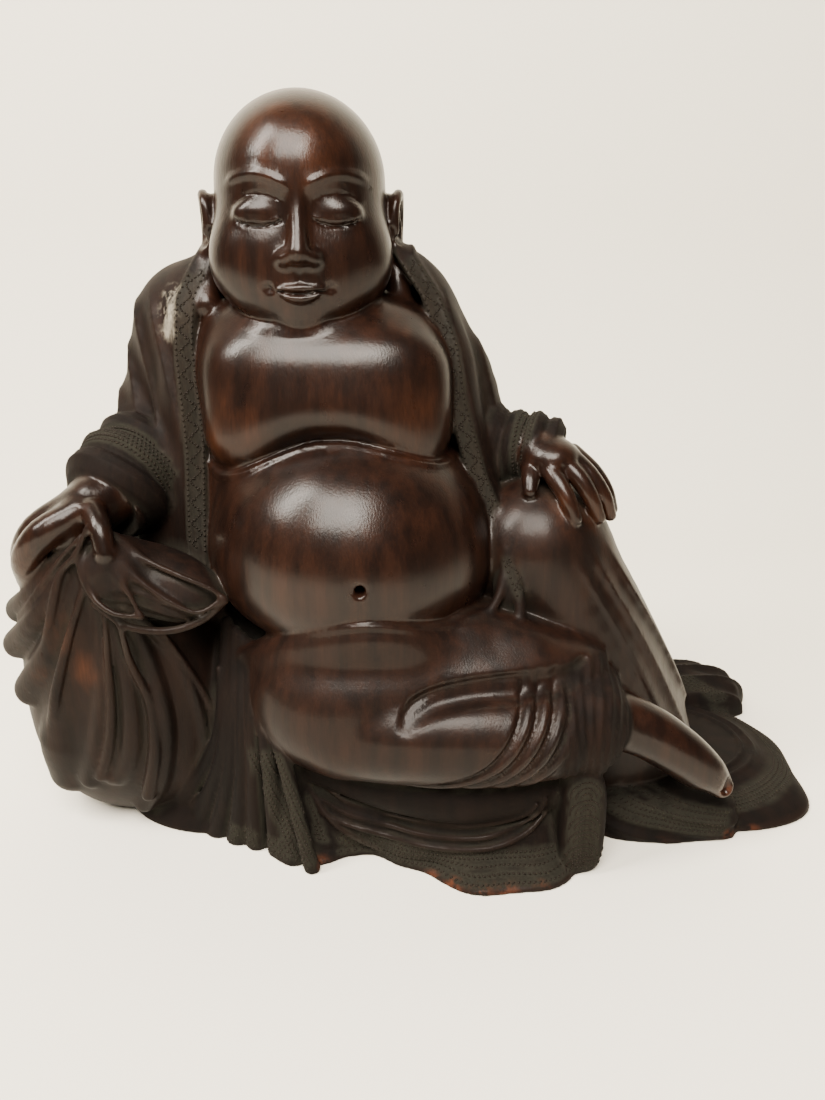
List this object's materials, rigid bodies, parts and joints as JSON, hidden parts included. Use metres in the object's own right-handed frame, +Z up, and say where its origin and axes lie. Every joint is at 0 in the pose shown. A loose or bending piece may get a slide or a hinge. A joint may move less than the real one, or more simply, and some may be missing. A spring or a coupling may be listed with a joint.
{
  "type": "seated figure carving",
  "caption": "Carved hardwood figure of a seated, big-bellied bald sage leaning on a cloth sack, one knee raised, in a robe that spreads over the ground.",
  "frame": {"origin": "middle of the carving's box, on its flat underside", "axes": "+Z up, the figure faces -Y, the raised knee is on the +X side and the sack on the -X side"},
  "size_m": [0.3591, 0.2008, 0.2997],
  "materials": {
    "wood": "polished"
  },
  "bodies": {
    "root": {"carving": "wood"}
  },
  "joints": []
}
